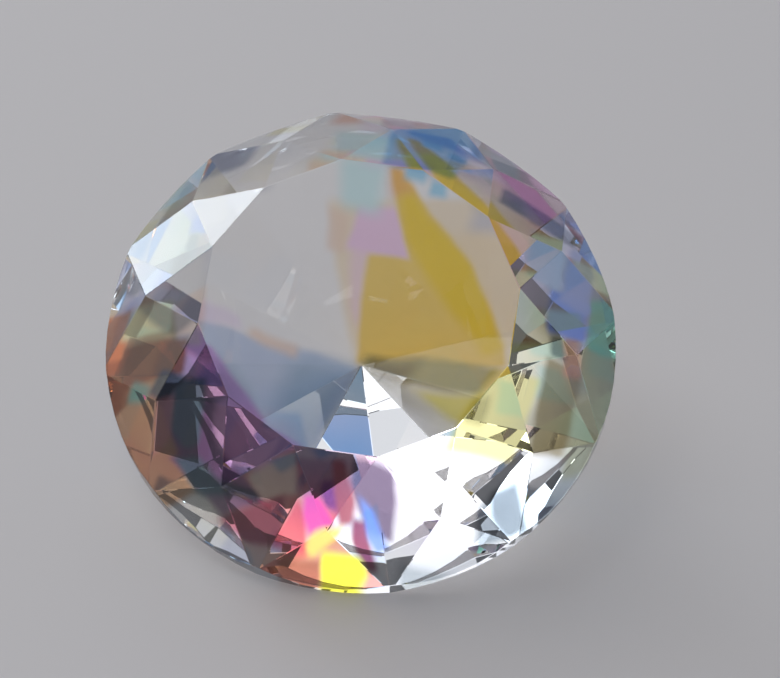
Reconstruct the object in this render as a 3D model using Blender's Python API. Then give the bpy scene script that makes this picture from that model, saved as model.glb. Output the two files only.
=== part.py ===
"""Rainbow quartz: a large round stone, cut from one piece of clear quartz.

The stone is ground the way a stone cutter does it. It starts as a turned disc,
and every facet is one flat cut. A tier of facets is the same cut made twelve
times around the axis. Two rings of points tie the tiers together: the corners
where kites and girdle triangles would meet, and the star tips half way up the
crown. The turned rim rounds the corners off, so the girdle is a round band with
a scalloped edge. At the end the stone is laid on one of its back facets.

Lengths are in metres, angles in radians and +Z is up.
"""

import math

import bmesh
import bpy
from mathutils import Matrix, Vector

# Driving dimensions.
FOLD = 12                   # facets in each tier
CORNER_WIDTH = 0.0400       # ring of corners that the crown's facets aim at
GIRDLE_WIDTH = 0.0393       # turned rim, which rounds those corners off
GIRDLE_SIDES = 72           # short flats that stand for the turned rim
TABLE_WIDTH = 0.0242        # flat top facet, corner to opposite corner
STAR_TIP_WIDTH = 0.0331     # ring of tips between neighbouring star facets
CROWN_HEIGHT = 0.0080       # ring of corners up to the table
GIRDLE_THICKNESS = 0.0012   # between the lower edges of the crown and the back
BACK_DEPTH = 0.0106         # lower edges of the back down to its point

# How the stone lies: a back facet faces down, and the table leans to -Y.
LEAN_TOWARDS = math.radians(-90.0)

# Cuts closer to a corner than this go through the corner.
SNAP = 2.0e-6

COLLECTION = "rainbow_quartz"
NODE = "quartz_stone"

STEP = 2.0 * math.pi / FOLD
SIDE = math.cos(STEP / 2.0)  # middle of a polygon's side, as a share of its corner


def clear_scene():
    """Remove every object left in the scene."""
    for item in list(bpy.data.objects):
        bpy.data.objects.remove(item, do_unlink=True)


def make_collection(name):
    """Make a collection of this name under the scene."""
    group = bpy.data.collections.new(name)
    bpy.context.scene.collection.children.link(group)
    return group


def make_material():
    """Clear quartz with a trace of lilac, polished."""
    material = bpy.data.materials.new("coated_quartz")
    material.use_nodes = True
    shader = material.node_tree.nodes["Principled BSDF"]
    shader.inputs["Base Color"].default_value = (0.86, 0.84, 0.88, 1.0)
    shader.inputs["Metallic"].default_value = 0.0
    shader.inputs["Roughness"].default_value = 0.02
    shader.inputs["IOR"].default_value = 1.544
    shader.inputs["Transmission Weight"].default_value = 1.0
    return material


def make_disc():
    """The rough stone: a disc turned to the girdle's width."""
    disc = bmesh.new()
    top = CROWN_HEIGHT
    bottom = -(GIRDLE_THICKNESS + BACK_DEPTH)
    bmesh.ops.create_cone(
        disc,
        cap_ends=True,
        cap_tris=False,
        segments=GIRDLE_SIDES,
        radius1=GIRDLE_WIDTH / 2.0,
        radius2=GIRDLE_WIDTH / 2.0,
        depth=top - bottom,
        matrix=Matrix.Translation((0.0, 0.0, (top + bottom) / 2.0)),
    )
    return disc


def cut_facet(stone, azimuth, slope, radius, height):
    """Grind one flat facet and keep what is on the axis side of it.

    The cut faces outward at the azimuth. Its slope is measured from level, and
    is above pi / 2 for a facet that faces down. It passes through the point at
    this radius and height on its own azimuth.
    """
    outward = Vector((math.cos(azimuth), math.sin(azimuth), 0.0))
    normal = outward * math.sin(slope)
    normal.z = math.cos(slope)
    point = outward * radius
    point.z = height
    everything = stone.verts[:] + stone.edges[:] + stone.faces[:]
    cut = bmesh.ops.bisect_plane(
        stone,
        geom=everything,
        dist=SNAP,
        plane_co=point,
        plane_no=normal,
        clear_outer=True,
    )
    rim = [item for item in cut["geom_cut"] if isinstance(item, bmesh.types.BMEdge)]
    open_rim = [edge for edge in rim if edge.is_boundary]
    if open_rim:
        bmesh.ops.contextual_create(stone, geom=open_rim)


def cut_tier(stone, first_azimuth, slope, radius, height):
    """Grind the same facet at each of the equal steps around the axis."""
    for index in range(FOLD):
        cut_facet(stone, first_azimuth + index * STEP, slope, radius, height)


def kite_slope():
    """Slope of the crown's kites, from their ring of corners to the table's."""
    return math.atan2(CROWN_HEIGHT, (CORNER_WIDTH - TABLE_WIDTH) / 2.0)


def star_tip_height():
    """Height of the star tips, which lie in the planes of the kites."""
    run = (CORNER_WIDTH - STAR_TIP_WIDTH * SIDE) / 2.0
    return run * math.tan(kite_slope())


def back_slope():
    """Slope of the back facets, from under the girdle to the point."""
    return math.atan2(BACK_DEPTH, CORNER_WIDTH * SIDE / 2.0)


def cut_crown(stone):
    """Grind the kites, the girdle triangles, the star triangles and the table."""
    corner = CORNER_WIDTH / 2.0
    side = corner * SIDE
    tip = STAR_TIP_WIDTH / 2.0
    tip_height = star_tip_height()
    girdle_slope = math.atan2(tip_height, side - tip)
    star_slope = math.atan2(CROWN_HEIGHT - tip_height, tip - TABLE_WIDTH * SIDE / 2.0)
    cut_tier(stone, 0.0, kite_slope(), corner, 0.0)
    cut_tier(stone, STEP / 2.0, girdle_slope, side, 0.0)
    cut_tier(stone, STEP / 2.0, star_slope, tip, tip_height)
    cut_facet(stone, 0.0, 0.0, 0.0, CROWN_HEIGHT)


def cut_back(stone):
    """Grind the long triangles that run from under the girdle to the point."""
    side = CORNER_WIDTH * SIDE / 2.0
    cut_tier(stone, STEP / 2.0, math.pi - back_slope(), side, -GIRDLE_THICKNESS)


def lay_down(stone):
    """Turn the stone onto the back facet that faces the lean, on level Z = 0."""
    turn = Matrix.Rotation(LEAN_TOWARDS - STEP / 2.0, 4, "Z")
    side_axis = Vector((-math.sin(LEAN_TOWARDS), math.cos(LEAN_TOWARDS), 0.0))
    lean = Matrix.Rotation(back_slope(), 4, side_axis)
    bmesh.ops.transform(stone, matrix=lean @ turn, verts=stone.verts[:])
    places = [vert.co.copy() for vert in stone.verts]
    low = [min(place[axis] for place in places) for axis in range(3)]
    high = [max(place[axis] for place in places) for axis in range(3)]
    shift = Vector((-(low[0] + high[0]) / 2.0, -(low[1] + high[1]) / 2.0, -low[2]))
    bmesh.ops.translate(stone, vec=shift, verts=stone.verts[:])


def finish_facets(stone):
    """Join leftover doubles, merge faces of one plane and face them outward."""
    bmesh.ops.remove_doubles(stone, verts=stone.verts[:], dist=SNAP)
    bmesh.ops.dissolve_limit(
        stone,
        angle_limit=math.radians(0.05),
        verts=stone.verts[:],
        edges=stone.edges[:],
    )
    bmesh.ops.recalc_face_normals(stone, faces=stone.faces[:])


def build():
    """Cut the stone and put it in its collection."""
    clear_scene()
    group = make_collection(COLLECTION)
    stone = make_disc()
    cut_crown(stone)
    cut_back(stone)
    finish_facets(stone)
    lay_down(stone)
    mesh = bpy.data.meshes.new(NODE)
    stone.to_mesh(mesh)
    stone.free()
    mesh.materials.append(make_material())
    group.objects.link(bpy.data.objects.new(NODE, mesh))


build()
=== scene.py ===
# %% [markdown]
# # Rainbow quartz
# This lesson dresses one cut stone. The solid itself comes from a CAD frame: a
# round stone with a flat table, four rings of twelve facets and a narrow rim of
# small flats, lying on one facet of its back. What is left to do is the coat and
# the light. Clear quartz has no colour of its own, so everything that is seen in it
# is either bent through it or mirrored inside it, and the rainbow comes from a
# metal-oxide coat that is a few hundred nanometres thick.

# %% Load the frame
import math

import bmesh
import bpy
import numpy as np
from mathutils import Matrix, Vector


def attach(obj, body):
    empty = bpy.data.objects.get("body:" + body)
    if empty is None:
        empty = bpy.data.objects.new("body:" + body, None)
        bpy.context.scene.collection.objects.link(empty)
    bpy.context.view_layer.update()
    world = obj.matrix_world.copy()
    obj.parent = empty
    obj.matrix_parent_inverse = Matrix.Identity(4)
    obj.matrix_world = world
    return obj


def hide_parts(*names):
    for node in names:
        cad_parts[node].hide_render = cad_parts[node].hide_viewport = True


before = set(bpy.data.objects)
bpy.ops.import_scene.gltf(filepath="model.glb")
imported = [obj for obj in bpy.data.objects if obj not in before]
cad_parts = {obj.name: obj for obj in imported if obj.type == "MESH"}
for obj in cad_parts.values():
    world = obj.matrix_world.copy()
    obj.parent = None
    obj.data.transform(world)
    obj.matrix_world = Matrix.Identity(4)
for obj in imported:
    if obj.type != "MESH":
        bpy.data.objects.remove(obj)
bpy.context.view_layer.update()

stone_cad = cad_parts["quartz_stone"]


# %% [markdown]
# ## The stone
# A cut stone is nothing but flats, and the CAD solid already has every one of them
# at its real angle. Working the planes out a second time would only let the two
# drift apart, so the piece starts as a copy of the CAD mesh. That copy arrives as
# loose triangles. Its doubles are merged, and triangles that lie in one plane are
# joined again, which gives one polygon for one facet.

# %% Copy the facets
WELD = 2.0e-6             # metres: corners closer than this are one corner
FLAT = math.radians(0.5)  # neighbours closer than this are one facet


def whole_facets(source, name):
    """A copy of a triangle mesh in which every facet is one polygon."""
    work = bmesh.new()
    work.from_mesh(source)
    bmesh.ops.remove_doubles(work, verts=work.verts[:], dist=WELD)
    bmesh.ops.dissolve_limit(
        work, angle_limit=FLAT, verts=work.verts[:], edges=work.edges[:])
    bmesh.ops.recalc_face_normals(work, faces=work.faces[:])
    mesh = bpy.data.meshes.new(name)
    work.to_mesh(mesh)
    work.free()
    mesh.materials.clear()
    return mesh


stone_mesh = whole_facets(stone_cad.data, "rainbow_stone")
stone = bpy.data.objects.new("rainbow_stone", stone_mesh)
bpy.context.scene.collection.objects.link(stone)
print("facets:", len(stone_mesh.polygons), "corners:", len(stone_mesh.vertices))

# %% [markdown]
# ## Reading the facets
# To colour a facet we have to know which one it is. A facet's normal says it all:
# its tilt against the stone's axis names the tier, and its direction around the
# axis names the place in the tier. The axis is the normal of the table, the
# largest facet. These are whole-array sums, one row for each facet.

# %% Tiers and places
FOLD = 12                 # facets in a tier
STEP = 360.0 / FOLD       # degrees from one facet to the next

face_count = len(stone_mesh.polygons)
normals = np.empty(face_count * 3)
centres = np.empty(face_count * 3)
areas = np.empty(face_count)
stone_mesh.polygons.foreach_get("normal", normals)
stone_mesh.polygons.foreach_get("center", centres)
stone_mesh.polygons.foreach_get("area", areas)
normals = normals.reshape(-1, 3)
centres = centres.reshape(-1, 3)

table = int(np.argmax(areas))
axis = normals[table]
side = np.array([1.0, 0.0, 0.0])   # the stone leans to -Y, so X stays level
forward = np.cross(axis, side)
slope = np.degrees(np.arccos(np.clip(normals @ axis, -1.0, 1.0)))
azimuth = np.degrees(np.arctan2(normals @ forward, normals @ side)) % 360.0

TIERS = ("table", "star", "kite", "upper", "girdle", "back")
TIER_TOPS = np.array([10.0, 42.0, 47.5, 60.0, 100.0])   # slopes between the tiers
tier = np.searchsorted(TIER_TOPS, slope)
for number, name in enumerate(TIERS):
    found = tier == number
    print(name, int(found.sum()), "facets, slope", np.unique(slope[found].round(1)))
    if found.sum() == FOLD:
        print("    places", np.sort(azimuth[found]).round(1))

# %% [markdown]
# ## The coat's colours
# The coat is a stack of thin oxide films. Its thickness and the angle of the light
# decide which colours pass and which are turned back, so one stone shows gold,
# lilac, teal and magenta, each facet its own and each facet drifting from one colour
# to the next. A true film simulation gives such colours too, but nobody can steer it
# facet by facet. So here the coat is a tint: a list of named colours, a pair for each
# facet, the first at its inner end and the second at its rim end. A tint says what
# share of red, green and blue one pass through the coat leaves. The back starts
# clear and gets all its colour from the patches further down: coat fringes, and a
# band of painted contact shadow.

# %% Name the colours
TINTS = {
    "clear": (1.00, 1.00, 1.00),
    "aqua": (0.72, 0.98, 1.00),
    "rose": (1.00, 0.72, 0.98),
    "silver": (0.82, 0.84, 0.88),
    "ash": (0.42, 0.47, 0.50),
    "smoke": (0.27, 0.32, 0.37),
    "slate": (0.03, 0.07, 0.10),
    "soot": (0.07, 0.08, 0.09),
    "cream": (1.00, 0.97, 0.80),
    "straw": (0.97, 0.90, 0.44),
    "lemon": (1.00, 0.94, 0.08),
    "gold": (1.00, 0.74, 0.20),
    "saffron": (1.00, 0.73, 0.07),
    "honey": (1.00, 0.80, 0.50),
    # moss and olive are coat colours, and on the back they also paint the contact shadow
    # under the stone.
    "moss": (0.46, 0.43, 0.19),
    "olive": (0.25, 0.20, 0.09),
    "sage": (0.41, 0.43, 0.29),
    "sand": (0.66, 0.38, 0.20),
    "peach": (0.98, 0.76, 0.63),
    "terracotta": (0.94, 0.32, 0.10),
    "rust": (0.32, 0.09, 0.03),
    "red": (0.75, 0.10, 0.15),
    "coral": (0.98, 0.43, 0.40),
    "magenta": (0.96, 0.11, 0.43),
    "orchid": (0.96, 0.54, 0.86),
    "mauve": (0.70, 0.54, 0.66),
    "plum": (0.28, 0.14, 0.30),
    "lilac": (0.92, 0.80, 1.00),
    "haze": (0.60, 0.70, 0.90),
    "denim": (0.44, 0.58, 0.74),
    "iris": (0.38, 0.46, 0.80),
    "blue": (0.22, 0.36, 0.88),
    "navy": (0.25, 0.29, 0.43),
    "steel": (0.62, 0.66, 0.82),
    "sky": (0.60, 0.85, 1.00),
    "cyan": (0.34, 0.74, 0.98),
    "mint": (0.17, 0.49, 0.37),
    "teal": (0.13, 0.26, 0.30),
    "azure": (0.20, 0.50, 0.90),
    "wine": (0.34, 0.07, 0.16),
    "violet": (0.25, 0.07, 0.27),
    "dusk": (0.22, 0.16, 0.26),
    "cherry": (0.47, 0.13, 0.18),
    "lime": (0.90, 1.00, 0.55),
}

# Places run around the axis from +X, a step of thirty degrees each. Stars, girdle
# triangles and back facets start at 0 degrees, kites half a step later.
COAT = {
    "star": (
        "cream straw", "lilac silver", "clear iris", "clear sky",
        "clear silver", "silver silver", "silver clear", "orchid ash",
        "iris plum", "mauve red", "clear clear", "straw straw",
    ),
    "kite": (
        "lilac smoke", "silver mauve", "haze clear", "clear silver",
        "clear silver", "sky silver", "moss sand", "plum plum",
        "red peach", "lilac clear", "clear clear", "cream olive",
    ),
    "upper": (
        "sage sage", "lilac haze", "mauve silver", "sky clear",
        "silver silver", "steel silver", "clear clear", "sand rust",
        "cream clear", "terracotta coral", "clear silver", "clear ash",
    ),
    "back": ("clear clear",) * FOLD,
}
TABLE_COAT = "clear clear"
GIRDLE_COAT = "silver silver"


def tint_pair(words):
    """Two named colours as rows of four numbers."""
    return [(*TINTS[word], 1.0) for word in words.split()]


def place_in_tier(angles, first):
    """Which place of its tier each facet has, from its direction around the axis."""
    return np.round((angles - first) / STEP).astype(int) % FOLD


pairs = np.ones((face_count, 2, 4))
pairs[tier == TIERS.index("table")] = tint_pair(TABLE_COAT)
pairs[tier == TIERS.index("girdle")] = tint_pair(GIRDLE_COAT)
for name, words in COAT.items():
    first = STEP / 2.0 if name == "kite" else 0.0
    rows = np.array([tint_pair(word) for word in words])
    chosen = tier == TIERS.index(name)
    pairs[chosen] = rows[place_in_tier(azimuth[chosen], first)]
print("tints in use:", len(np.unique(pairs.reshape(-1, 4), axis=0)))

# %% [markdown]
# The tints go onto the mesh as two colours for each face, and a third attribute
# says how far along its facet each corner is, from 0 at the end next to the axis to
# 1 at the rim end.

# %% Store the coat on the mesh
MILLIMETRES = 1000.0      # in a metre

corner_count = len(stone_mesh.loops)
corner_vertex = np.empty(corner_count, dtype=int)
stone_mesh.loops.foreach_get("vertex_index", corner_vertex)
loop_starts = np.empty(face_count, dtype=int)
stone_mesh.polygons.foreach_get("loop_start", loop_starts)
points = np.empty(len(stone_mesh.vertices) * 3)
stone_mesh.vertices.foreach_get("co", points)
points = points.reshape(-1, 3)

table_centre = centres[table]
away = points - table_centre
radius = np.linalg.norm(away - np.outer(away @ axis, axis), axis=1)
corner_radius = radius[corner_vertex]
inner = np.minimum.reduceat(corner_radius, loop_starts)
outer = np.maximum.reduceat(corner_radius, loop_starts)
corners_each = np.diff(np.append(loop_starts, corner_count))
span = np.repeat(np.maximum(outer - inner, WELD), corners_each)
along = (corner_radius - np.repeat(inner, corners_each)) / span

for number, name in enumerate(("coat_inner", "coat_outer")):
    layer = stone_mesh.attributes.new(name, "FLOAT_COLOR", "FACE")
    layer.data.foreach_set("color", pairs[:, number].astype(np.float32).ravel())
layer = stone_mesh.attributes.new("along", "FLOAT", "CORNER")
layer.data.foreach_set("value", along.astype(np.float32))
print("largest corner radius in mm:", round(float(radius.max()) * MILLIMETRES, 2))

# %% [markdown]
# ## Fringes and painted shadow
# A film that was sprayed on from one side isn't equally thick all over, so its
# colours also run across the facets in soft straight-edged patches, which an optician
# calls fringes. Not every patch here is the coat: the moss and olive band on the back,
# running from the axis to the right, is painted shadow. It darkens the back where the
# contact shadow under the stone shows through the table. Each patch here is a colour,
# how strongly it covers from 0 to 1, how wide its soft edge is in millimetres, and its
# corners on the plan of the stone, in millimetres from the axis, X to the right and the
# other way up the table. A later patch lies over an earlier one. A patch is what lies
# on the inner side of all its edges, and the shader can work that out from the Object
# coordinates: the distance beyond an edge is a dot product. That only holds for
# patches without a notch, and it needs no picture. The back's patches are softer, as
# the table shows them plainly.

# %% Name the fringes
BACK_FRINGES_AND_SHADE = (
    ("honey", 0.6, 1.2, ((20, -3.2), (20, 13), (4, 13), (-4.4, 11.4), (-0.3, -0.4))),
    ("peach", 0.7, 1.0, ((-2.4, 8), (-2.6, 11), (-4.4, 11), (-4, 8))),
    ("rose", 0.9, 0.9, ((2.6, 8), (1.2, 11.8), (-1.8, 11.8), (-2.4, 8.4))),
    ("rose", 0.5, 1.2, ((-0.5, 8.6), (-0.4, 2.6), (-1.2, 3.4), (-1.9, 8.6))),
    ("honey", 0.4, 1.5, ((11.6, 2), (11.6, 9), (7.8, 11), (5.4, 10))),
    ("aqua", 0.9, 1.6, ((-0.2, 11.2), (-0.2, 15), (-3.8, 15), (-3.4, 11.4))),
    ("gold", 0.95, 0.7, (
        (11.4, 0), (10.9, 1.9), (8.3, 6.4),
        (6.8, 8.2), (-0.5, 8.2), (-0.4, 0))),
    ("gold", 0.95, 0.7, ((0.1, 14.6), (1.0, 14.6), (6.4, 9.1), (8.4, 6.3), (2.6, 8))),
    ("terracotta", 0.4, 1.2, ((-0.1, 14.8), (1.1, 14.8), (2.4, 12.8), (0.6, 12.4))),
    ("saffron", 0.9, 1.2, (
        (1.2, 12.6), (2.2, 13), (6.6, 9), (8.6, 6.2),
        (11, 1.6), (9.4, 1), (2.4, 9))),
    # Painted shadow: these two darken the back where the contact shadow under the stone
    # shows through the table.
    ("moss", 0.9, 1.0, ((0.1, -0.8), (9.5, -2.4), (11, -0.2), (8, 0.6), (0.1, 0.5))),
    ("olive", 0.8, 1.6, ((0.4, -0.7), (3.4, -1.9), (4.6, 0.2), (0.4, 0.4))),
    ("lemon", 0.7, 1.2, ((4.6, -2.2), (10.8, -2.4), (10.2, -4.4), (8, -4.8))),
    ("haze", 0.9, 1.0, ((-20, -9), (-2.8, -9), (-0.3, -0.4), (-12, 0.4), (-20, 0.4))),
    ("denim", 0.95, 2.6, ((-6.4, -9), (-2.6, -9), (-0.1, -0.4), (-5.4, -1))),
    ("mauve", 0.7, 2.6, ((-9, -6.4), (-4, -6.4), (-3, -9), (-9, -9))),
    ("teal", 0.4, 2.6, ((-11, -2.6), (-9, -3.4), (-7.6, -5.8), (-9.4, -6.6), (-12, -4.6))),
    ("peach", 0.8, 1.0, ((-9, 0.2), (-5, -0.9), (-5, 0.1), (-8.6, 1))),
    ("lilac", 0.7, 1.0, ((-13.4, 0), (-9.4, 0.4), (-9.6, 1.4), (-13.4, 2))),
    ("navy", 0.8, 1.6, ((-17, 11), (-12.6, 10.8), (-8.8, 11.8), (-8.8, 14.4), (-17, 15))),
    ("cyan", 0.8, 0.8, ((1.3, 13.9), (3, 13.8), (3, 15.2), (1.3, 15.2))),
    ("cyan", 0.8, 0.8, ((3.4, 13.1), (4.8, 13), (4.8, 14.2), (3.5, 14.2))),
    ("azure", 0.95, 1.6, ((-0.2, 15), (6.6, 14.2), (7, 20), (-0.4, 20))),
    ("lilac", 0.6, 1.4, ((-2.2, 14.6), (-0.2, 14.6), (-0.2, 17), (-2.2, 17))),
    ("steel", 0.6, 1.6, ((6.8, 10.6), (9.6, 10.6), (9.8, 12.6), (7.2, 12.6))),
    ("ash", 0.7, 1.6, ((7, 12.6), (11.4, 12.2), (11.4, 15), (7, 15.4))),
    ("terracotta", 0.5, 1.6, ((-4.8, 16.4), (-2.2, 16.4), (-2.4, 19), (-4.4, 19))),
    ("cyan", 0.8, 1.2, ((12.4, -6), (15.8, -5), (15.8, -1.9), (12.8, -1.9))),
    ("azure", 0.95, 1.4, ((16.4, -5.4), (20, -5.4), (20, -0.4), (18, -0.4))),
    ("azure", 0.8, 1.4, ((-16.6, -5.4), (-13.8, -5.4), (-13.8, -1.4), (-16.6, -1.4))),
)
CROWN_FRINGES = (
    ("terracotta", 0.95, 0.7, ((-20, -5.5), (-17.6, -5.5), (-17.4, -0.6), (-20, -0.4))),
    ("rust", 0.6, 0.7, ((-20, -9), (-17.6, -9), (-17.2, -4.4), (-20, -4.2))),
    ("sand", 0.9, 0.7, ((-15.5, -16), (-10, -14.4), (-15, -7), (-19, -9))),
    ("lime", 0.8, 0.7, ((-18, -3), (-14, -3.2), (-14, -0.8), (-17.4, -0.6))),
    ("peach", 0.6, 0.7, ((-14.2, -1.2), (-11.4, -0.2), (-11, -4.8), (-13, -4.4))),
    ("rust", 0.85, 0.7, ((-17.4, -7), (-12.4, -6.6), (-12.2, -4), (-17.6, -3.6))),
    ("orchid", 0.95, 0.7, ((-12.4, -4.6), (-10.4, -4.6), (-5.4, -10.2), (-7.4, -12.4))),
    ("orchid", 0.8, 0.7, (
        (-9.6, -9.6), (-5.4, -10.4), (-2.6, -11.6),
        (-4.6, -13.4), (-8.8, -12.4))),
    ("teal", 0.8, 0.7, ((-13, -10), (-10.4, -12.6), (-10.4, -7), (-12.6, -7))),
    ("plum", 0.8, 0.7, ((-12.6, -12), (-9.4, -11.2), (-4.6, -15.2), (-8, -16))),
    ("slate", 0.85, 0.7, ((-15.2, -7.8), (-13.6, -9), (-12, -6.8), (-14.2, -6))),
    ("teal", 0.85, 0.7, ((-12.2, -12), (-10.4, -12), (-7.4, -14.8), (-10.2, -14.6))),
    ("coral", 0.6, 0.7, ((-14.2, -11.6), (-12.6, -11), (-12.6, -8.2), (-14.2, -8.4))),
    ("mint", 0.8, 0.7, ((-16.8, -7.8), (-15.2, -8.4), (-15, -7.2), (-16.4, -6.6))),
    ("slate", 0.8, 0.7, ((-8.2, -13.8), (-5.4, -14.4), (-5, -15.4), (-8, -14.6))),
    ("peach", 0.9, 0.7, ((-6.4, -13.4), (-3, -12), (-2.4, -14.6), (-5, -15))),
    ("cherry", 0.95, 0.7, ((-8.6, -16), (-3.4, -14.8), (-3.4, -17.6), (-6, -17.6))),
    ("plum", 0.5, 0.7, ((-3, -12.4), (1, -12.2), (0.6, -14.8), (-2.6, -14.6))),
    ("dusk", 0.95, 0.7, ((1.4, -12), (4.6, -12.2), (5.2, -16.4), (3.2, -16), (1.6, -14))),
    ("red", 0.85, 0.7, (
        (-4, -17.6), (-2.5, -14.8), (-1.8, -15.8),
        (-1.2, -17.9), (-2.6, -18.2))),
    ("violet", 0.9, 0.7, ((-0.8, -13.8), (0.8, -13.4), (1.1, -15.4), (-0.4, -15.2))),
    ("magenta", 0.95, 0.7, (
        (-2, -14.6), (-0.8, -14.6), (0.5, -16.1),
        (-1.1, -17.2), (-2.1, -15.9))),
    ("cherry", 0.95, 0.7, (
        (-0.2, -12.2), (0.8, -12.2), (2, -14.4),
        (1.9, -15.8), (0.9, -16))),
    ("wine", 0.95, 0.7, (
        (1.8, -15.4), (3.2, -15.4), (4.3, -18.5),
        (3.4, -18.6), (2.2, -16.8))),
    ("blue", 0.9, 0.7, (
        (2.2, -14.1), (3.1, -14.4), (5.1, -16.9),
        (4.2, -17.4), (3.2, -16.2))),
    ("gold", 0.95, 0.7, (
        (-1.2, -16.8), (1.2, -16), (1.1, -16.7),
        (-0.8, -18.1), (-1.4, -17.8))),
    ("lemon", 1.0, 0.7, (
        (-0.1, -17.7), (2.9, -17.6), (3.6, -18.7),
        (2.4, -20), (-0.1, -20))),
    ("rust", 0.7, 0.7, (
        (-3.4, -18.2), (-0.1, -18.1), (-0.1, -19.4),
        (-1.2, -20), (-3.4, -20))),
    ("smoke", 0.9, 0.7, ((11, -15.4), (14, -14), (16, -10.6), (12.6, -10.4), (10.8, -13))),
    ("soot", 0.85, 0.7, (
        (11.6, -11.6), (13.4, -10.6), (14.8, -13.4),
        (13.4, -14.4), (12, -13.6))),
    ("smoke", 0.8, 0.7, ((14.8, -13.8), (16.2, -10.2), (17.4, -10.6), (15.8, -14.4))),
    ("ash", 0.8, 0.7, ((5.8, -20), (11, -20), (10.4, -17), (6, -17.8))),
    ("straw", 0.9, 0.7, ((8, -10.2), (13, -9.4), (14, -3), (10.4, -3.6))),
    ("moss", 0.6, 0.7, ((9.2, -8.2), (10.6, -8), (10.8, -5.8), (9.6, -6.4))),
    ("olive", 0.8, 0.7, ((14, -8.6), (16.6, -7.4), (17.4, -1), (14.2, -1))),
    ("sage", 0.8, 0.7, ((16.6, -9), (20, -6), (20, 2), (17.2, 2))),
    ("slate", 0.7, 0.7, ((14.4, -0.8), (15.8, -0.8), (15.6, 1), (14.4, 0.8))),
    ("cherry", 0.6, 0.7, ((15.6, -1.8), (17, -1.4), (16.6, 1.6), (15.6, 0.8))),
    ("sand", 0.5, 0.7, ((15.6, -1.8), (17, -1.4), (16.6, 1.6), (15.6, 0.8))),
    ("mint", 0.85, 0.7, ((17.2, 1.2), (20, 1.6), (19.6, 6.6), (17, 5.4))),
    ("haze", 0.8, 0.7, ((11.8, 4.6), (14.6, 4.6), (14.8, 9.6), (11.8, 9.4))),
    ("blue", 0.9, 0.7, ((14.2, 0.8), (17, 1.6), (17, 5), (14, 4.6))),
    ("iris", 0.9, 0.7, ((14.8, 4), (17, 4), (17, 8), (16, 9.6), (15, 9.2))),
    ("navy", 0.9, 0.7, ((9, 10.8), (15.2, 9.2), (15.6, 10.8), (9.2, 12.6))),
    ("mauve", 0.4, 0.7, ((9.8, 14), (12.6, 13.4), (12.4, 16.6), (9.8, 17))),
    ("steel", 0.9, 0.7, ((6.4, 14.6), (10, 14.6), (10, 19), (6.2, 19))),
    ("azure", 0.7, 0.7, ((-0.2, 11.9), (5.4, 11.9), (6.4, 14.6), (4.6, 17.2), (0, 17.2))),
    ("cyan", 0.4, 0.7, ((-16.8, 8.2), (-14.6, 8.4), (-14.6, 10.8), (-16, 11))),
)


def across(where):
    """The vector in the stone's frame that points this way on its plan."""
    return side * where[0] + forward * where[1]


def inside_edge(tree, place, start, end, middle, blur):
    """A socket: 1 on the middle's side of an edge, 0 on the other, smooth between.

    The edge's own direction, turned by a quarter and cut to length one, is the
    direction to measure in. Its sign is chosen so that the middle comes out positive.
    """
    start, end, middle = np.array(start), np.array(end), np.array(middle)
    inward = np.array([start[1] - end[1], end[0] - start[0]])
    inward = inward / np.linalg.norm(inward)
    inward = inward * np.sign(inward @ (middle - start))
    facing = across(inward) * MILLIMETRES
    reach = tree.nodes.new("ShaderNodeVectorMath")
    reach.operation = "DOT_PRODUCT"
    reach.inputs[1].default_value = facing
    tree.links.new(place, reach.inputs[0])
    step = tree.nodes.new("ShaderNodeMapRange")
    step.interpolation_type = "SMOOTHSTEP"
    line = float(inward @ start + table_centre @ facing)
    step.inputs["From Min"].default_value = line - blur / 2.0
    step.inputs["From Max"].default_value = line + blur / 2.0
    tree.links.new(reach.outputs["Value"], step.inputs["Value"])
    return step.outputs["Result"]


def lay_overlay(tree, place, below, name, strength, blur, corners):
    """A socket: the colour below, with one named patch laid over it.

    Most patches are coat fringes; the moss and olive band on the back is painted
    shadow. How much of the patch is there is the product of all its edges' answers,
    times its strength. The two colours are mixed by that share.
    """
    middle = np.mean(corners, axis=0)
    cover = None
    for start, end in zip(corners, corners[1:] + corners[:1]):
        within = inside_edge(tree, place, start, end, middle, blur)
        if cover is not None:
            both = tree.nodes.new("ShaderNodeMath")
            both.operation = "MULTIPLY"
            tree.links.new(cover, both.inputs[0])
            tree.links.new(within, both.inputs[1])
            within = both.outputs["Value"]
        cover = within
    thin = tree.nodes.new("ShaderNodeMath")
    thin.operation = "MULTIPLY"
    thin.inputs[1].default_value = strength
    tree.links.new(cover, thin.inputs[0])
    over = tree.nodes.new("ShaderNodeMix")
    over.data_type = "RGBA"
    over.inputs["B"].default_value = (*TINTS[name], 1.0)
    tree.links.new(thin.outputs["Value"], over.inputs["Factor"])
    tree.links.new(below, over.inputs["A"])
    return over.outputs["Result"]


# %% [markdown]
# ## The quartz, its coat and the painted shadow as a material
# One Principled shader makes them all. Transmission and the index of refraction of
# quartz, 1.544, bend the light, and the tint colours it. Noise on the Object
# coordinates moves the change of colour within each facet and makes the patches
# waver, so no facet is one flat colour. The shader takes the square root of its base
# colour at each pass through a clear surface, so the tint is multiplied by itself on
# its way in. Crown and back differ only in their patches, and the back's patches
# include the band of painted contact shadow. A solid core with a thin shell around it
# would be nearer to the real thing, but it doubles the surfaces that each ray has to
# cross and looks the same.

# %% Make the materials
QUARTZ_IOR = 1.544
POLISH = 0.0              # roughness of a mirror-smooth facet
CLOUD_SCALE = 170.0       # per metre: clouds of colour a few millimetres wide
CLOUD_DETAIL = 2.0        # finer clouds within them
CLOUD_PULL = 0.9          # how far a cloud moves the change of colour in a facet
CLOUD_MIDDLE = (0.5, 0.5, 0.5)      # the noise's average, which moves nothing
WAVER = (0.0012, 0.0012, 0.0012)    # metres: how far a cloud bends the fringes


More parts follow.
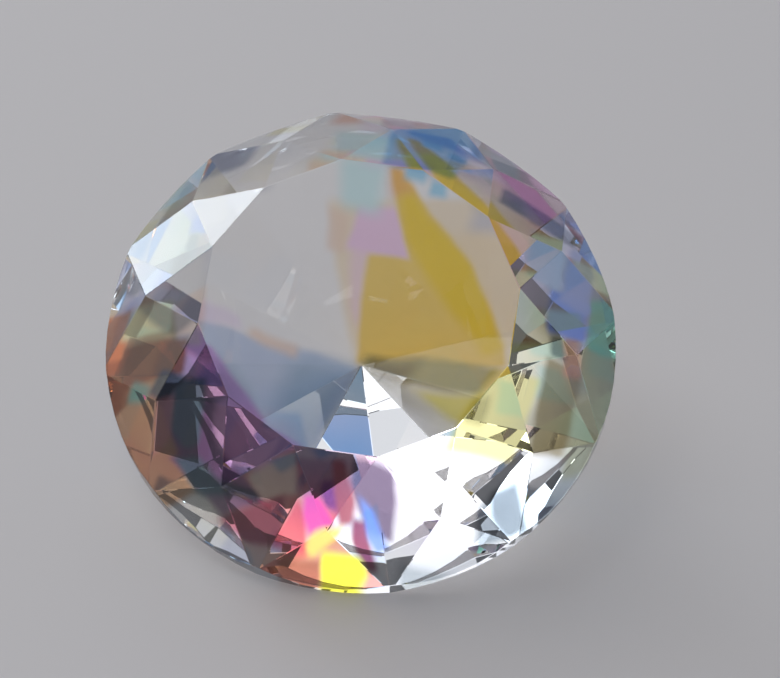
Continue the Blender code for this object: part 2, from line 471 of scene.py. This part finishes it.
def coat_and_shade_material(name, overlays):
    """Clear quartz, tinted along each facet and then by the patches across it: coat
    fringes, and on the back also a band of painted shadow.
    """
    material = bpy.data.materials.new(name)
    material.use_nodes = True
    tree = material.node_tree
    link = tree.links.new
    shader = tree.nodes["Principled BSDF"]
    shader.inputs["Transmission Weight"].default_value = 1.0
    shader.inputs["IOR"].default_value = QUARTZ_IOR
    shader.inputs["Roughness"].default_value = POLISH

    ends = []
    for layer_name in ("coat_inner", "coat_outer"):
        colour = tree.nodes.new("ShaderNodeAttribute")
        colour.attribute_name = layer_name
        ends.append(colour.outputs["Color"])
    along_facet = tree.nodes.new("ShaderNodeAttribute")
    along_facet.attribute_name = "along"

    place = tree.nodes.new("ShaderNodeTexCoord")
    cloud = tree.nodes.new("ShaderNodeTexNoise")
    cloud.inputs["Scale"].default_value = CLOUD_SCALE
    cloud.inputs["Detail"].default_value = CLOUD_DETAIL
    link(place.outputs["Object"], cloud.inputs["Vector"])

    pull = tree.nodes.new("ShaderNodeMath")
    pull.operation = "MULTIPLY_ADD"
    pull.inputs[1].default_value = CLOUD_PULL
    pull.inputs[2].default_value = -CLOUD_PULL / 2.0
    link(cloud.outputs["Fac"], pull.inputs[0])
    where = tree.nodes.new("ShaderNodeMath")
    where.operation = "ADD"
    where.use_clamp = True
    link(along_facet.outputs["Fac"], where.inputs[0])
    link(pull.outputs["Value"], where.inputs[1])

    blend = tree.nodes.new("ShaderNodeMix")
    blend.data_type = "RGBA"
    link(where.outputs["Value"], blend.inputs["Factor"])
    link(ends[0], blend.inputs["A"])
    link(ends[1], blend.inputs["B"])

    sway = tree.nodes.new("ShaderNodeVectorMath")
    sway.operation = "SUBTRACT"
    sway.inputs[1].default_value = CLOUD_MIDDLE
    link(cloud.outputs["Color"], sway.inputs[0])
    waver = tree.nodes.new("ShaderNodeVectorMath")
    waver.operation = "MULTIPLY_ADD"
    waver.inputs[1].default_value = WAVER
    link(sway.outputs["Vector"], waver.inputs[0])
    link(place.outputs["Object"], waver.inputs[2])

    tint = blend.outputs["Result"]
    # The patches are coat fringes, and on the back also the painted contact shadow.
    for overlay in overlays:
        tint = lay_overlay(tree, waver.outputs["Vector"], tint, *overlay)
    square = tree.nodes.new("ShaderNodeVectorMath")
    square.operation = "MULTIPLY"
    link(tint, square.inputs[0])
    link(tint, square.inputs[1])
    link(square.outputs["Vector"], shader.inputs["Base Color"])
    return material


stone_mesh.materials.append(coat_and_shade_material("crown_coat", CROWN_FRINGES))
# The back's material carries the painted contact shadow as well as its coat fringes.
stone_mesh.materials.append(coat_and_shade_material("back_coat_and_shade", BACK_FRINGES_AND_SHADE))
on_the_back = (tier == TIERS.index("back")).astype(np.int32)
stone_mesh.polygons.foreach_set("material_index", on_the_back)
print("fringes on the crown:", len(CROWN_FRINGES), "and on the back:", len(BACK_FRINGES_AND_SHADE))

# %% [markdown]
# ## Softened edges
# On the real stone the facets don't meet in perfect lines: polishing takes a hair off
# every edge, and that hair catches the light. A Bevel modifier of a few hundredths of
# a millimetre with one segment does the same.

# %% Soften the edges
EDGE_WIDTH = 0.00004              # metres
EDGE_ANGLE = math.radians(8.0)    # facets closer than this meet without an edge

edges = stone.modifiers.new("polished_edges", "BEVEL")
edges.width = EDGE_WIDTH
edges.segments = 1
edges.limit_method = "ANGLE"
edges.angle_limit = EDGE_ANGLE

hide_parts("quartz_stone")
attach(stone, "root")
print("edge width in mm:", round(EDGE_WIDTH * MILLIMETRES, 3))

# %% [markdown]
# ## The set
# The floor is plain and pale. It lies a hair under the stone, because two surfaces
# in one place make a renderer flicker.

# %% Lay the floor
FLOOR_HALF = 3.0          # metres from the stone to the floor's edge
FLOOR_GAP = 0.00002       # metres
FLOOR_COLOUR = (0.70, 0.68, 0.69, 1.0)
FLOOR_ROUGHNESS = 0.6

floor_mesh = bpy.data.meshes.new("floor")
floor_corners = np.array([[-1, -1, 0], [1, -1, 0], [1, 1, 0], [-1, 1, 0]]) * FLOOR_HALF
floor_mesh.from_pydata(floor_corners - [0.0, 0.0, FLOOR_GAP], [], [(0, 1, 2, 3)])
floor = bpy.data.objects.new("floor", floor_mesh)
bpy.context.scene.collection.objects.link(floor)
floor_paint = bpy.data.materials.new("pale_floor")
floor_paint.use_nodes = True
paint = floor_paint.node_tree.nodes["Principled BSDF"]
paint.inputs["Base Color"].default_value = FLOOR_COLOUR
paint.inputs["Roughness"].default_value = FLOOR_ROUGHNESS
floor_mesh.materials.append(floor_paint)
print("floor in metres:", 2.0 * FLOOR_HALF, "by", 2.0 * FLOOR_HALF)

# %% [markdown]
# ## Light
# A cut stone shows pieces of its surroundings, so where each light hangs decides
# which facets are bright. An environment picture could do it, but then no light
# could be moved alone. So there are soft boxes and cards, as in a jeweller's studio.
# A low window on the left and the wall next to it give the sheen on the left kites.
# A high box, a big box overhead and a wall behind light the facets that mirror them
# inside the stone. The box overhead would also turn the table white from outside, so
# it is hidden from mirror rays, and it casts no shadow, which leaves that to the
# window. Small dim cards reach single facets: two blue ones in the north, one in the
# north-east and a long low one on the right. All other directions stay dim, which is
# what makes the deep purple and brown facets.

# %% Hang the lights
GIRDLE_CENTRE = Vector((0.0, -0.00036, 0.010345))
WHITE = (1.0, 1.0, 1.0)
ROOM_COLOUR = (0.13, 0.132, 0.14, 1.0)

# Name, degrees around Z, degrees above level, metres away, width and height in
# metres, watts and colour.
LIGHTS = (
    ("window", 139.0, 11.5, 1.2, (0.47, 0.54), 5.0, (0.90, 0.96, 1.0)),
    ("left_wall", 167.0, 16.0, 1.3, (0.62, 0.85), 1.3, WHITE),
    ("high_box", 150.0, 50.0, 1.4, (0.90, 0.90), 3.5, WHITE),
    ("sky_box", 200.0, 67.9, 1.4, (1.02, 1.24), 5.6, WHITE),
    ("back_wall", 105.0, 29.0, 1.3, (0.80, 0.50), 1.0, WHITE),
    ("north_card", 95.0, 60.0, 1.3, (0.45, 0.45), 0.13, (0.45, 0.70, 1.0)),
    ("north_glow", 95.0, 42.0, 1.3, (0.44, 0.34), 0.22, (0.33, 0.53, 1.0)),
    ("dawn_card", 65.5, 34.5, 1.3, (0.205, 0.30), 0.095, WHITE),
    ("right_card", 30.0, 7.0, 1.5, (1.6, 0.5), 1.1, WHITE),
)


def direction(turn, height):
    """A unit vector from its angle around Z and its angle above level, in degrees."""
    turn, height = math.radians(turn), math.radians(height)
    level = math.cos(height)
    return Vector((level * math.cos(turn), level * math.sin(turn), math.sin(height)))


def soft_box(name, turn, height, distance, size, watts, colour):
    """A rectangular area light that faces the stone."""
    lamp = bpy.data.lights.new(name, "AREA")
    lamp.shape = "RECTANGLE"
    lamp.size, lamp.size_y = size
    lamp.energy = watts
    lamp.color = colour
    holder = bpy.data.objects.new(name, lamp)
    bpy.context.scene.collection.objects.link(holder)
    heading = direction(turn, height)
    holder.location = GIRDLE_CENTRE + heading * distance
    holder.rotation_euler = heading.to_track_quat("Z", "Y").to_euler()
    return holder


lights = {row[0]: soft_box(*row) for row in LIGHTS}
lights["sky_box"].data.use_shadow = False
lights["sky_box"].visible_glossy = False
print("lights:", ", ".join(lights))

world = bpy.data.worlds.new("room")
world.use_nodes = True
room = world.node_tree.nodes["Background"]
room.inputs["Color"].default_value = ROOM_COLOUR
bpy.context.scene.world = world

# %% [markdown]
# ## Camera
# The camera looks down at forty degrees from nearly straight in front, a hand and a
# half away. Coming closer with a wider lens would swell the near side of the stone,
# and so would tell the eye a different shape. The lens follows from how many pixels
# one metre takes at the stone, and the aim from where the stone's middle shows.

# %% Set the camera
CAMERA_TURN = -84.91      # degrees around Z
CAMERA_HEIGHT = 40.03     # degrees above level
CAMERA_DISTANCE = 0.26    # metres
CAMERA_UP = Vector((-0.136, 0.632, 0.763))
PIXELS_PER_METRE = 12990.0        # at the stone
FRAME_WIDTH, FRAME_HEIGHT = 780.0, 678.0
STONE_PIXEL = (360.8, 344.7)      # where the middle of the girdle shows
SENSOR = 36.0                     # millimetres

towards_camera = direction(CAMERA_TURN, CAMERA_HEIGHT)
right = CAMERA_UP.cross(towards_camera).normalized()
upward = towards_camera.cross(right)
aim = GIRDLE_CENTRE + right * ((FRAME_WIDTH / 2.0 - STONE_PIXEL[0]) / PIXELS_PER_METRE)
aim = aim + upward * ((STONE_PIXEL[1] - FRAME_HEIGHT / 2.0) / PIXELS_PER_METRE)
eye = GIRDLE_CENTRE + towards_camera * CAMERA_DISTANCE
gaze = (aim - eye).normalized()
sideways = gaze.cross(upward).normalized()
top = sideways.cross(gaze)
lens = bpy.data.cameras.new("camera")
lens.sensor_width = SENSOR
lens.lens = CAMERA_DISTANCE * PIXELS_PER_METRE / FRAME_WIDTH * SENSOR
camera = bpy.data.objects.new("camera", lens)
bpy.context.scene.collection.objects.link(camera)
camera.matrix_world = Matrix.LocRotScale(
    eye, Matrix((sideways, top, -gaze)).transposed(), None)
bpy.context.scene.camera = camera
print("lens in mm:", round(lens.lens, 1))

# %% [markdown]
# ## Light paths and colour
# Inside the stone a ray is mirrored many times before it leaves. Blender stops after
# four such mirrors by default, which would turn parts of the stone black, so the
# limits go up. The Standard view keeps the coat's colours as strong as they are,
# where a film-like view would fade the brightest of them.

# %% Let the light travel
BOUNCES = 32
cycles = bpy.context.scene.cycles
cycles.max_bounces = BOUNCES
cycles.glossy_bounces = BOUNCES
cycles.transmission_bounces = BOUNCES
bpy.context.scene.view_settings.view_transform = "Standard"
print("bounces:", BOUNCES)

# %% [markdown]
# ## Finishing
# The dressed stone has to keep the size of its solid. The last step brings the view
# layer up to date.

# %% Finish
bpy.context.view_layer.update()
